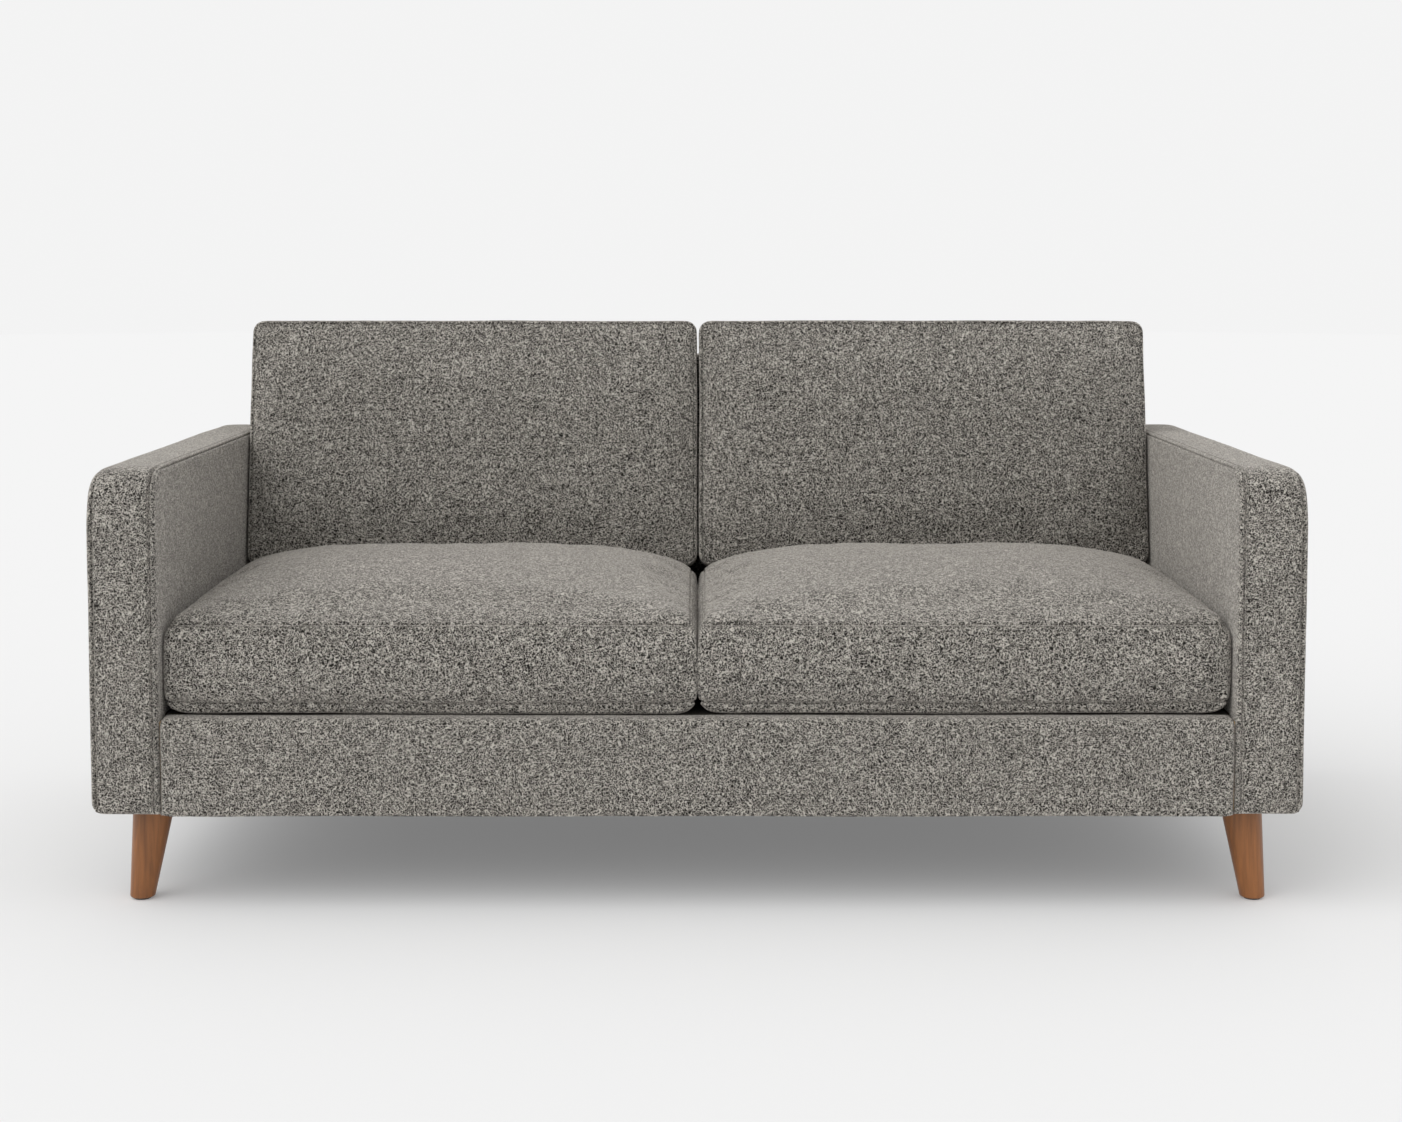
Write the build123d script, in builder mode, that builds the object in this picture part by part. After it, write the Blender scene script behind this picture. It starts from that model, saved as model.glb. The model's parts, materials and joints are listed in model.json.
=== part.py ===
from build123d import *
import os
from math import cos, radians, sin, tan

# Two-seat sofa with loose seat and back cushions on four splayed, turned wooden legs.
# Millimetres, +Z up. The origin is on the floor under the middle of the sofa.
# -Y is the front, and left is the -X side, as someone facing the sofa sees it.

# ---- Overall sizes ----
sofa_width = 1830.0
sofa_depth = 880.0
arm_thickness = 104.0
arm_height = 667.0
base_height = 144.0  # floor to the lower edge of the upholstery
deck_height = 290.0  # top of the platform that the seat cushions lie on
back_height = 800.0  # top of the upholstered back frame, behind the cushions
back_top_thickness = 67.0
frame_rake = 8.5  # lean of the inside back, degrees

# ---- Upholstery layers ----
cover_thickness = 2.0
side_pad = 8.0  # foam on the faces of the arms
end_pad = 10.0  # foam on the front and rear ends of the arms
top_pad = 14.0
arm_corner_radius = 14.0
rail_pad = 8.0
rail_top_pad = 4.0
rail_setback = 2.0  # the rail's upholstery stands this far behind the arm fronts
rail_corner_radius = 12.0
back_pad = 25.0
back_top_pad = 8.0
back_corner_radius = 20.0
hem_depth = 3.0  # the cover hangs this far below the foam, and the foam below the timber
panel_gap = 2.0  # between the arms and what stands between them

# ---- Frame timber and boards ----
board_thickness = 4.0
post_depth = 40.0
arm_top_rail_height = 40.0
arm_timber_corner_radius = 30.0  # rounded over at each end, under the roll of the padding
arm_bottom_rail_height = 50.0
rail_thickness = 24.0
back_rail_thickness = 26.0
rail_seat_drop = 6.0  # rail tops below the deck's top, for the felt and the deck cloth
centre_rail_thickness = 30.0
centre_rail_height = 100.0
stile_thickness = 20.0
stile_inset = 4.0
back_top_rail_height = 50.0

# ---- Springs, webbing and deck ----
springs_per_seat = 4
spring_margin_share = 0.75  # room beyond the outer springs, as a share of their spacing
spring_wire_radius = 1.9
spring_pitch = 44.0
spring_run = 20.0
spring_end_gap = 8.0  # rail face to the middle of the end bar
clip_strap = 1.3
clip_width = 14.0
clip_plate_height = 20.0
clip_plate_thickness = 1.5
felt_thickness = 4.0
webbing_count = 5
webbing_width = 50.0
webbing_thickness = 2.0
dust_cover_thickness = 1.5

# ---- Legs ----
leg_inset_x = 78.0  # outer face of the arm to the middle of the leg's top
leg_inset_y = 75.0
leg_splay_x = 17.0
leg_splay_y = 15.0
leg_top_radius = 32.0
leg_foot_radius = 18.8
leg_foot_round = 3.0
leg_plate_size = 80.0
leg_plate_thickness = 3.0
leg_block_length = 110.0
leg_block_width = 126.0
leg_block_height = 35.0
hanger_bolt_radius = 4.0
hanger_bolt_length = 60.0
plate_screw_radius = 2.0
plate_screw_length = 20.0
plate_screw_inset = 9.0
plate_screw_head_radius = 4.0
plate_screw_head_height = 2.4
cutout_clearance = 2.0
glide_radius = 13.0
glide_height = 2.5
glide_nail_radius = 1.5
glide_nail_length = 12.0

# ---- Cushions ----
cushion_side_gap = 3.5
cushion_middle_gap = 3.0
slide_gap = 0.4  # between faces that pass each other
seat_front_setback = 26.0
seat_rear_gap = 27.0
seat_shoulder_gap = 3.0  # from the foot of the back cushion to where the seat drops under it
seat_seam_rise = 138.0  # heights of the seat cushion are measured up from the deck
seat_side_rise = 145.0
seat_crest_rise = 200.0
seat_crest_setback = 112.0  # from the foot of the back cushion forward to the highest line
seat_crown_shoulder = 180.0
seat_core_rise = 115.0
seat_side_bow = 14.0
seat_front_bow = 20.0
seat_rear_bow = 10.0
back_cushion_rake = 10.4
back_cushion_thickness = 150.0
back_cushion_height = 443.0
back_foot_rise = 146.0  # deck to the lower front edge of the back cushion
back_cushion_corner_radius = 25.0
back_cushion_edge_radius = 12.0
lean_gap = 0.5

# ---- Zips ----
zip_length = 600.0
zip_width = 14.0
zip_tape_thickness = 1.0
zip_chain_width = 5.0
zip_rise = 60.0  # the seat zip's height above the deck
back_zip_rise = 45.0  # up the rear face of a back cushion
slider_length = 14.0
slider_width = 10.0
slider_thickness = 3.0
slider_clearance = 0.3
slider_end_gap = 20.0
pull_width = 5.0
pull_length = 24.0
pull_thickness = 1.5
pull_hole_radius = 1.2

# ---- Derived places ----
half_width = sofa_width / 2
half_depth = sofa_depth / 2
arm_inner = half_width - arm_thickness
panel_half = arm_inner - panel_gap
timber_bottom = base_height + 2 * hem_depth
foam_bottom = base_height + hem_depth
rail_top = deck_height - rail_seat_drop
block_top = timber_bottom + leg_block_height
timber_in = arm_inner + cover_thickness + side_pad + board_thickness
timber_out = half_width - cover_thickness - side_pad - board_thickness
timber_front = half_depth - cover_thickness - end_pad
timber_top = arm_height - cover_thickness - top_pad
board_in = timber_in - board_thickness
board_out = timber_out + board_thickness
rail_back = timber_front - rail_thickness
back_rail_front = timber_front - back_rail_thickness
block_inner = timber_out - leg_block_width

leg_x = half_width - leg_inset_x
leg_y = half_depth - leg_inset_y
leg_top = timber_bottom - leg_plate_thickness
foot_x = leg_x + leg_splay_x
foot_y = leg_y + leg_splay_y
screw_offset = leg_plate_size / 2 - plate_screw_inset

cushion_width = (2 * arm_inner - 2 * cushion_side_gap - cushion_middle_gap) / 2
cushion_mid = (cushion_middle_gap + cushion_width) / 2
lean = radians(back_cushion_rake)
back_foot_height = deck_height + back_foot_rise
back_foot_y = (
    half_depth
    - back_top_thickness
    - lean_gap
    - back_cushion_thickness / cos(lean)
    - (back_height - back_foot_height) * tan(lean)
)
seat_front = -half_depth + seat_front_setback
seat_seam_height = deck_height + seat_seam_rise
seat_side_height = deck_height + seat_side_rise
seat_crest_height = deck_height + seat_crest_rise
seat_core_front_height = deck_height + seat_core_rise
seat_floor = deck_height + slide_gap
seat_shoulder = back_foot_y - seat_shoulder_gap
seat_crest = back_foot_y - seat_crest_setback

SIDES = (("left", -1), ("right", 1))
ENDS = (("front", -1), ("rear", 1))
LEG_TOP_PLACES = [(side * leg_x, end * leg_y) for _, side in SIDES for _, end in ENDS]
FOOT_PLACES = [(side * foot_x, end * foot_y) for _, side in SIDES for _, end in ENDS]

os.makedirs("parts", exist_ok=True)


def save(piece, name):
    """Labels a finished piece and writes it as its own file."""
    piece.part.label = name
    export_step(piece.part, f"parts/{name}.step")


def span_box(x_span, y_span, z_span, mode=Mode.ADD):
    """A box between two places along each axis."""
    middle = [(a + b) / 2 for a, b in (x_span, y_span, z_span)]
    sizes = [abs(b - a) for a, b in (x_span, y_span, z_span)]
    with Locations(tuple(middle)):
        Box(*sizes, mode=mode)


def bowed(start, end, rise):
    """An arc between two profile points whose middle stands rise above the straight line."""
    middle = ((start[0] + end[0]) / 2, (start[1] + end[1]) / 2 + rise)
    return ThreePointArc(start, middle, end)


# ---- Arms ----
def arm_envelope(side, inset, bottom):
    """The rounded outside of an arm, drawn in by inset and running down to bottom."""
    with BuildPart() as envelope:
        span_box(
            (side * (arm_inner + inset), side * (half_width - inset)),
            (-half_depth + inset, half_depth - inset),
            (bottom, arm_height - inset),
        )
        lower_edges = envelope.faces().sort_by(Axis.Z)[0].edges()
        round_edges = [edge for edge in envelope.edges() if edge not in lower_edges]
        fillet(round_edges, arm_corner_radius - inset)
    return envelope.part


def round_over_ends(part):
    """Rounds over the top corners at the front and the rear of the timber of an arm."""
    top_edges = part.edges().filter_by(Axis.X).group_by(Axis.Z)[-1]
    fillet(top_edges, arm_timber_corner_radius)


def open_inner_wall(side):
    """Ends the inside of an arm at the deck, where the cover is pulled through and fixed."""
    span_box(
        (side * (arm_inner - cover_thickness), side * board_in),
        (-timber_front, timber_front),
        (0, rail_top + panel_gap),
        mode=Mode.SUBTRACT,
    )


def make_arm(side_name, side):
    """One arm: two posts, two rails, two boards, foam and a cover."""
    posts_x = (side * timber_in, side * timber_out)
    post_inner = timber_front - post_depth
    top_rail_bottom = timber_top - arm_top_rail_height

    for end_name, end in ENDS:
        with BuildPart() as post:
            span_box(posts_x, (end * post_inner, end * timber_front), (block_top, top_rail_bottom))
        save(post, f"arm_{side_name}_{end_name}_post")

    with BuildPart() as top_rail:
        span_box(posts_x, (-timber_front, timber_front), (top_rail_bottom, timber_top))
        round_over_ends(top_rail)
    save(top_rail, f"arm_{side_name}_top_rail")

    with BuildPart() as bottom_rail:
        rail_z = (block_top, block_top + arm_bottom_rail_height)
        span_box(posts_x, (-post_inner, post_inner), rail_z)
    save(bottom_rail, f"arm_{side_name}_bottom_rail")

    with BuildPart() as boards:
        along = (-timber_front, timber_front)
        span_box((side * board_in, side * timber_in), along, (block_top, timber_top))
        span_box((side * timber_out, side * board_out), along, (timber_bottom, timber_top))
        round_over_ends(boards)
    save(boards, f"arm_{side_name}_boards")

    with BuildPart() as timber_space:
        span_box(
            (side * board_in, side * board_out),
            (-timber_front, timber_front),
            (0, timber_top),
        )
        round_over_ends(timber_space)

    foam_outside = arm_envelope(side, cover_thickness, foam_bottom)
    with BuildPart() as foam:
        add(foam_outside)
        add(timber_space.part, mode=Mode.SUBTRACT)
        open_inner_wall(side)
    save(foam, f"arm_{side_name}_foam")

    cover_outside = arm_envelope(side, 0, base_height)
    cover_inside = arm_envelope(side, cover_thickness, 0)
    with BuildPart() as cover:
        add(cover_outside)
        add(cover_inside, mode=Mode.SUBTRACT)
        open_inner_wall(side)
    save(cover, f"arm_{side_name}_cover")


for side_name, side in SIDES:
    make_arm(side_name, side)


# ---- Seat frame ----
def make_cross_rail(name, near, far):
    """A rail from arm to arm, notched underneath where it rests on the leg blocks."""
    with BuildPart() as rail:
        span_box((-board_in, board_in), (near, far), (block_top, rail_top))
        span_box((-block_inner, block_inner), (near, far), (timber_bottom, block_top))
    save(rail, name)


make_cross_rail("seat_front_rail", -timber_front, -rail_back)
make_cross_rail("seat_back_rail", back_rail_front, timber_front)

with BuildPart() as seat_centre_rail:
    span_box(
        (-centre_rail_thickness / 2, centre_rail_thickness / 2),
        (-rail_back, back_rail_front),
        (timber_bottom, timber_bottom + centre_rail_height),
    )
save(seat_centre_rail, "seat_centre_rail")

with BuildPart() as leg_blocks:
    for _, side in SIDES:
        for _, end in ENDS:
            span_box(
                (side * block_inner, side * timber_out),
                (end * timber_front, end * (timber_front - leg_block_length)),
                (timber_bottom, block_top),
            )
    for place in LEG_TOP_PLACES:
        bolt_reach = leg_top + hanger_bolt_length / 2 - timber_bottom
        with BuildSketch(Plane.XY.offset(timber_bottom)):
            with Locations(place):
                Circle(hanger_bolt_radius)
        extrude(amount=bolt_reach, mode=Mode.SUBTRACT)
        with BuildSketch(Plane.XY.offset(timber_bottom)):
            with Locations(place):
                with GridLocations(2 * screw_offset, 2 * screw_offset, 2, 2):
                    Circle(plate_screw_radius)
        extrude(amount=plate_screw_length - leg_plate_thickness, mode=Mode.SUBTRACT)
save(leg_blocks, "leg_blocks")


# ---- Legs and their fixings ----
def make_leg(name, side, end):
    """A round tapered leg that leans outwards both ways, with a rounded foot."""
    top_place = (side * leg_x, end * leg_y)
    foot_place = (side * foot_x, end * foot_y)
    with BuildPart() as leg:
        with BuildSketch(Plane.XY.offset(glide_height)):
            with Locations(foot_place):
                Circle(leg_foot_radius)
        with BuildSketch(Plane.XY.offset(leg_top)):
            with Locations(top_place):
                Circle(leg_top_radius)
        loft()
        fillet(leg.edges().sort_by(Axis.Z)[0], leg_foot_round)
        with Locations((*top_place, leg_top)):
            Hole(radius=hanger_bolt_radius, depth=hanger_bolt_length / 2)
        with BuildSketch(Plane.XY.offset(glide_height)):
            with Locations(foot_place):
                Circle(glide_nail_radius)
        extrude(amount=glide_nail_length, mode=Mode.SUBTRACT)
    save(leg, name)


for side_name, side in SIDES:
    for end_name, end in ENDS:
        make_leg(f"leg_{end_name}_{side_name}", side, end)

with BuildPart() as leg_plates:
    for place in LEG_TOP_PLACES:
        with BuildSketch(Plane.XY.offset(leg_top)):
            with Locations(place):
                RectangleRounded(leg_plate_size, leg_plate_size, plate_screw_inset / 2)
                Circle(hanger_bolt_radius, mode=Mode.SUBTRACT)
                with GridLocations(2 * screw_offset, 2 * screw_offset, 2, 2):
                    Circle(plate_screw_radius, mode=Mode.SUBTRACT)
        extrude(amount=leg_plate_thickness)
save(leg_plates, "leg_plates")

with BuildPart() as leg_plate_screws:
    for place in LEG_TOP_PLACES:
        with BuildSketch(Plane.XY.offset(leg_top)):
            with Locations(place):
                with GridLocations(2 * screw_offset, 2 * screw_offset, 2, 2):
                    Circle(plate_screw_radius)
        extrude(amount=plate_screw_length)
        with BuildSketch(Plane.XY.offset(leg_top)):
            with Locations(place):
                with GridLocations(2 * screw_offset, 2 * screw_offset, 2, 2):
                    Circle(plate_screw_head_radius)
        extrude(amount=-plate_screw_head_height)
save(leg_plate_screws, "leg_plate_screws")

with BuildPart() as leg_hanger_bolts:
    with BuildSketch(Plane.XY.offset(leg_top - hanger_bolt_length / 2)):
        with Locations(*LEG_TOP_PLACES):
            Circle(hanger_bolt_radius)
    extrude(amount=hanger_bolt_length)
save(leg_hanger_bolts, "leg_hanger_bolts")

with BuildPart() as foot_glides:
    with BuildSketch():
        with Locations(*FOOT_PLACES):
            Circle(glide_radius)
    extrude(amount=glide_height)
    with BuildSketch(Plane.XY.offset(glide_height)):
        with Locations(*FOOT_PLACES):
            Circle(glide_nail_radius)
    extrude(amount=glide_nail_length)
save(foot_glides, "foot_glides")

with BuildPart() as dust_cover:
    span_box(
        (-board_out, board_out),
        (-timber_front, timber_front),
        (timber_bottom - dust_cover_thickness, timber_bottom),
    )
    cutout = leg_plate_size + 2 * cutout_clearance
    with Locations(*[(x, y, timber_bottom) for x, y in LEG_TOP_PLACES]):
        Box(cutout, cutout, 4 * dust_cover_thickness, mode=Mode.SUBTRACT)
save(dust_cover, "dust_cover")


# ---- Back frame ----
def frame_face(z, inset=0.0):
    """How far back the inside back stands at height z, set back by inset."""
    contact = half_depth - back_top_thickness
    return contact - (back_height - z) * tan(radians(frame_rake)) + inset


def raked_profile(inset, bottom, top, rear, radius=0.0):
    """The section of a layer that follows the leaning inside back up to its top."""
    corners = [
        (frame_face(bottom, inset), bottom),
        (frame_face(top, inset), top),
        (rear, top),
        (rear, bottom),
    ]
    with BuildSketch(Plane.YZ) as section:
        with BuildLine():
            Polyline(*corners, close=True)
        make_face()
        if radius:
            front_top = section.vertices().group_by(Axis.Y)[-1].sort_by(Axis.X)[0]
            fillet(front_top, radius)
    return section.sketch_local


outer_face_y = half_depth - cover_thickness
layer_front = cover_thickness + back_pad
stile_front = layer_front + webbing_thickness
back_timber_top = back_height - cover_thickness - back_top_pad
top_rail_bottom = back_timber_top - back_top_rail_height
padding_half = panel_half - cover_thickness
timber_half = panel_half - stile_inset

with BuildPart() as back_stiles:
    stile_section = raked_profile(stile_front, rail_top, top_rail_bottom, timber_front)
    stile_middles = [-timber_half + stile_thickness / 2, 0.0, timber_half - stile_thickness / 2]
    for middle in stile_middles:
        with BuildSketch(Plane.YZ.offset(middle)):
            add(stile_section)
        extrude(amount=stile_thickness / 2, both=True)
save(back_stiles, "back_stiles")

with BuildPart() as back_top_rail:
    with BuildSketch(Plane.YZ):
        add(raked_profile(stile_front, top_rail_bottom, back_timber_top, timber_front))
    extrude(amount=timber_half, both=True)
save(back_top_rail, "back_top_rail")

with BuildPart() as back_webbing:
    webbing_low = deck_height + webbing_width
    webbing_step = (top_rail_bottom - webbing_low) / webbing_count
    for turn in range(webbing_count):
        low = webbing_low + turn * webbing_step
        high = low + webbing_width
        with BuildSketch(Plane.YZ):
            with BuildLine():
                Polyline(
                    (frame_face(low, layer_front), low),
                    (frame_face(high, layer_front), high),
                    (frame_face(high, stile_front), high),
                    (frame_face(low, stile_front), low),
                    close=True,
                )
            make_face()
        extrude(amount=timber_half, both=True)
save(back_webbing, "back_webbing")

with BuildPart() as inside_back_foam:
    with BuildSketch(Plane.YZ):
        add(
            raked_profile(
                cover_thickness,
                deck_height,
                back_height - cover_thickness,
                outer_face_y,
                back_corner_radius - cover_thickness,
            )
        )
        add(
            raked_profile(layer_front, deck_height, back_timber_top, outer_face_y),
            mode=Mode.SUBTRACT,
        )
    extrude(amount=padding_half, both=True)
save(inside_back_foam, "inside_back_foam")

with BuildPart() as inside_back_cover:
    with BuildSketch(Plane.YZ):
        add(raked_profile(0, deck_height, back_height, outer_face_y, back_corner_radius))
        add(
            raked_profile(
                cover_thickness,
                deck_height,
                back_height - cover_thickness,
                outer_face_y,
                back_corner_radius - cover_thickness,
            ),
            mode=Mode.SUBTRACT,
        )
    extrude(amount=panel_half, both=True)
    for _, side in SIDES:
        with BuildSketch(Plane.YZ.offset(side * (panel_half - cover_thickness / 2))):
            add(raked_profile(0, deck_height, back_height, outer_face_y, back_corner_radius))
        extrude(amount=cover_thickness / 2, both=True)
save(inside_back_cover, "inside_back_cover")

with BuildPart() as outside_back_board:
    board_y = (timber_front, timber_front + board_thickness)
    span_box((-timber_half, timber_half), board_y, (timber_bottom, back_timber_top))
save(outside_back_board, "outside_back_board")

with BuildPart() as outside_back_wadding:
    wadding_y = (timber_front + board_thickness, outer_face_y)
    span_box((-padding_half, padding_half), wadding_y, (foam_bottom, back_timber_top))
save(outside_back_wadding, "outside_back_wadding")

with BuildPart() as outside_back_cover:
    cover_y = (outer_face_y, half_depth)
    span_box((-panel_half, panel_half), cover_y, (base_height, back_height))
save(outside_back_cover, "outside_back_cover")


# ---- Front rail upholstery ----
def rail_section(inset, drop):
    """The front rail's outside, drawn in by inset, with a rounded top front edge."""
    front = -half_depth + rail_setback + inset
    top = deck_height - inset
    with BuildSketch(Plane.YZ) as section:
        with BuildLine():
            Polyline(
                (front, drop), (-rail_back, drop), (-rail_back, top), (front, top), close=True
            )
        make_face()
        upper_front = section.vertices().group_by(Axis.Y)[-1].sort_by(Axis.X)[0]
        fillet(upper_front, rail_corner_radius - inset)
    return section.sketch_local


with BuildPart() as front_rail_foam:
    with BuildSketch(Plane.YZ):
        add(rail_section(cover_thickness, foam_bottom))
        with Locations(((-timber_front - rail_back) / 2, rail_top / 2)):
            Rectangle(rail_thickness, rail_top, mode=Mode.SUBTRACT)
    extrude(amount=panel_half, both=True)
save(front_rail_foam, "front_rail_foam")

with BuildPart() as front_rail_cover:
    with BuildSketch(Plane.YZ):
        add(rail_section(0, base_height))
        add(rail_section(cover_thickness, 0), mode=Mode.SUBTRACT)
    extrude(amount=panel_half, both=True)
save(front_rail_cover, "front_rail_cover")

# ---- Springs and deck ----
wire_height = rail_top - spring_wire_radius - clip_strap
first_bar = -rail_back + spring_end_gap
last_bar = back_rail_front - spring_end_gap
run_count = round((last_bar - first_bar) / spring_pitch)
run_step = (last_bar - first_bar) / run_count
spring_step = panel_half / (springs_per_seat - 1 + 2 * spring_margin_share)
spring_places = [
    side * spring_step * (place + spring_margin_share)
    for _, side in SIDES
    for place in range(springs_per_seat)
]

with BuildPart() as seat_springs:
    for middle in spring_places:
        with BuildLine(Plane.XY.offset(wire_height)) as spring_path:
            for run in range(run_count):
                y = first_bar + run * run_step
                turn = 1 if run % 2 == 0 else -1
                near_end = middle - turn * spring_run / 2
                far_end = middle + turn * spring_run / 2
                Line((near_end, y), (far_end, y))
                ThreePointArc(
                    (far_end, y),
                    (far_end + turn * run_step / 2, y + run_step / 2),
                    (far_end, y + run_step),
                )
            last_turn = 1 if run_count % 2 == 0 else -1
            Line(
                (middle - last_turn * spring_run / 2, last_bar),
                (middle + last_turn * spring_run / 2, last_bar),
            )
        wire_start = Plane(spring_path.line @ 0, z_dir=spring_path.line % 0)
        with BuildSketch(wire_start):
            Circle(spring_wire_radius)
        sweep(path=spring_path.line)
save(seat_springs, "seat_springs")

with BuildPart() as spring_clips:
    for middle in spring_places:
        for bar, face in ((first_bar, -rail_back), (last_bar, back_rail_front)):
            toward = 1 if bar > face else -1
            strap_edge = face + toward * clip_plate_thickness
            with BuildSketch(Plane.YZ.offset(middle)):
                with Locations((bar, wire_height)):
                    Circle(spring_wire_radius + clip_strap)
                with Locations(((bar + face) / 2, rail_top - clip_strap / 2)):
                    Rectangle(abs(bar - face), clip_strap)
                with Locations(((face + strap_edge) / 2, rail_top - clip_plate_height / 2)):
                    Rectangle(clip_plate_thickness, clip_plate_height)
                with Locations((bar, wire_height)):
                    Circle(spring_wire_radius, mode=Mode.SUBTRACT)
            extrude(amount=clip_width / 2, both=True)
save(spring_clips, "spring_clips")

deck_y = (-rail_back, frame_face(deck_height, layer_front) - panel_gap)
with BuildPart() as deck_felt:
    felt_z = (rail_top, rail_top + felt_thickness)
    span_box((-panel_half, panel_half), deck_y, felt_z)
save(deck_felt, "deck_felt")

with BuildPart() as deck_cloth:
    cloth_z = (rail_top + felt_thickness, deck_height)
    span_box((-panel_half, panel_half), deck_y, cloth_z)
save(deck_cloth, "deck_cloth")


# ---- Zips ----
def zip_slot(face):
    """The opening in a cover where the zip is sewn in."""
    with BuildPart() as slot:
        with BuildSketch(face):
            Rectangle(zip_length, zip_width)
        extrude(amount=-cover_thickness)
    return slot.part


def make_zip(name, face):
    """The zip's tape, filling the slot, with its raised chain of teeth."""
    with BuildPart() as zip_tape:
        with BuildSketch(face.offset(-cover_thickness)):
            Rectangle(zip_length, zip_width)
        extrude(amount=zip_tape_thickness)
        with BuildSketch(face.offset(-cover_thickness + zip_tape_thickness)):
            Rectangle(zip_length, zip_chain_width)
        extrude(amount=cover_thickness - zip_tape_thickness)
    save(zip_tape, name)


def make_zip_slider(name, face):
    """The slider that runs along the zip, with its hanging pull."""
    place = -zip_length / 2 + slider_end_gap
    with BuildPart() as slider:
        with BuildSketch(face.offset(slider_clearance)):
            with Locations((place, 0)):
                RectangleRounded(slider_length, slider_width, pull_thickness)
        extrude(amount=slider_thickness)
        with BuildSketch(face.offset(slider_clearance + slider_thickness)):
            with Locations((place, -pull_length / 2 + pull_width / 2)):
                RectangleRounded(pull_width, pull_length, pull_thickness)
            with Locations((place, pull_width - pull_length)):
                Circle(pull_hole_radius, mode=Mode.SUBTRACT)
        extrude(amount=pull_thickness)
    save(slider, name)


# ---- Seat cushions ----
def under_back(y):
    """Height of the seat under the back cushion, just clear of its sloping underside."""
    return back_foot_height - (y - back_foot_y) * tan(lean) - slide_gap


def seat_form(middle, inset):
    """A seat cushion drawn in by inset: crowned in front, and lower under the back cushion."""
    half = cushion_width / 2 - inset
    front = seat_front + inset
    rear = frame_face(deck_height) - seat_rear_gap - inset
    floor = seat_floor + inset
    crest = (seat_crest, seat_crest_height - inset)
    shoulder = (seat_shoulder - inset, under_back(seat_shoulder) - inset)
    seam = (front, seat_seam_height - inset)
    with BuildPart() as form:
        with BuildSketch(Plane.YZ.offset(middle)):
            with BuildLine():
                Polyline(
                    seam,
                    (front, floor),
                    (rear, floor),
                    (rear, under_back(rear) - inset),
                    shoulder,
                )
                bowed(shoulder, crest, seat_rear_bow)
                bowed(crest, seam, seat_front_bow)
            make_face()
        extrude(amount=half, both=True)
        with BuildSketch(Plane.XZ):
            with BuildLine():
                side_top = seat_side_height - inset
                inner = half - seat_crown_shoulder
                crown_top = seat_crest_height
                Polyline(
                    (middle - half, side_top),
                    (middle - half, floor),
                    (middle + half, floor),
                    (middle + half, side_top),
                )
                bowed((middle + half, side_top), (middle + inner, crown_top), seat_side_bow)
                Line((middle + inner, crown_top), (middle - inner, crown_top))
                bowed((middle - inner, crown_top), (middle - half, side_top), seat_side_bow)
            make_face()
        extrude(amount=sofa_depth, both=True, mode=Mode.INTERSECT)
    return form.part


def make_seat_cushion(side_name, side):
    """One seat cushion: foam core, crowned pad, cover, zip and slider."""
    middle = side * cushion_mid
    name = f"seat_cushion_{side_name}"
    filling = seat_form(middle, cover_thickness)
    outside = seat_form(middle, 0)
    shoulder = (seat_shoulder - cover_thickness, under_back(seat_shoulder) - cover_thickness)
    run = shoulder[0] - seat_front
    climb = shoulder[1] - seat_core_front_height
    parting = Plane((middle, *shoulder), x_dir=(1, 0, 0), z_dir=(0, -climb, run))
    rear = frame_face(deck_height) - seat_rear_gap
    zip_face = Plane((middle, rear, deck_height + zip_rise), x_dir=(-1, 0, 0), z_dir=(0, 1, 0))

    with BuildPart() as core:
        add(filling)
        split(bisect_by=parting, keep=Keep.BOTTOM)
    save(core, f"{name}_core")

    with BuildPart() as crown:
        add(filling)
        split(bisect_by=parting, keep=Keep.TOP)
    save(crown, f"{name}_crown")

    with BuildPart() as cover:
        add(outside)
        add(filling, mode=Mode.SUBTRACT)
        add(zip_slot(zip_face), mode=Mode.SUBTRACT)
    save(cover, f"{name}_cover")

    make_zip(f"{name}_zip", zip_face)
    make_zip_slider(f"{name}_zip_slider", zip_face)


for side_name, side in SIDES:
    make_seat_cushion(side_name, side)


# ---- Back cushions ----
def back_form(middle, inset):
    """A back cushion drawn in by inset, leaning back by its rake, with rounded corners."""
    upright = Plane(
        (middle, back_foot_y, back_foot_height), x_dir=(1, 0, 0), z_dir=(0, sin(lean), cos(lean))
    )
    with BuildPart() as form:
        with BuildSketch(upright.offset(inset)):
            with Locations((0, back_cushion_thickness / 2)):
                Rectangle(cushion_width - 2 * inset, back_cushion_thickness - 2 * inset)
        extrude(amount=back_cushion_height - 2 * inset)
        through = upright.y_dir
        corner_edges = form.edges().filter_by(Axis((0, 0, 0), through))
        fillet(corner_edges, back_cushion_corner_radius - inset)
        faces = form.faces().filter_by(Plane((0, 0, 0), z_dir=through))
        fillet(faces.edges(), back_cushion_edge_radius - inset)
    return form.part


def make_back_cushion(side_name, side):
    """One back cushion: core, cover, zip and slider."""
    middle = side * cushion_mid
    name = f"back_cushion_{side_name}"
    filling = back_form(middle, cover_thickness)
    outside = back_form(middle, 0)
    zip_y = back_foot_y + back_cushion_thickness * cos(lean) + back_zip_rise * sin(lean)
    zip_z = back_foot_height - back_cushion_thickness * sin(lean) + back_zip_rise * cos(lean)
    zip_face = Plane(
        (middle, zip_y, zip_z), x_dir=(-1, 0, 0), z_dir=(0, cos(lean), -sin(lean))
    )

    with BuildPart() as core:
        add(filling)
    save(core, f"{name}_core")

    with BuildPart() as cover:
        add(outside)
        add(filling, mode=Mode.SUBTRACT)
        add(zip_slot(zip_face), mode=Mode.SUBTRACT)
    save(cover, f"{name}_cover")

    make_zip(f"{name}_zip", zip_face)
    make_zip_slider(f"{name}_zip_slider", zip_face)


for side_name, side in SIDES:
    make_back_cushion(side_name, side)
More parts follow.
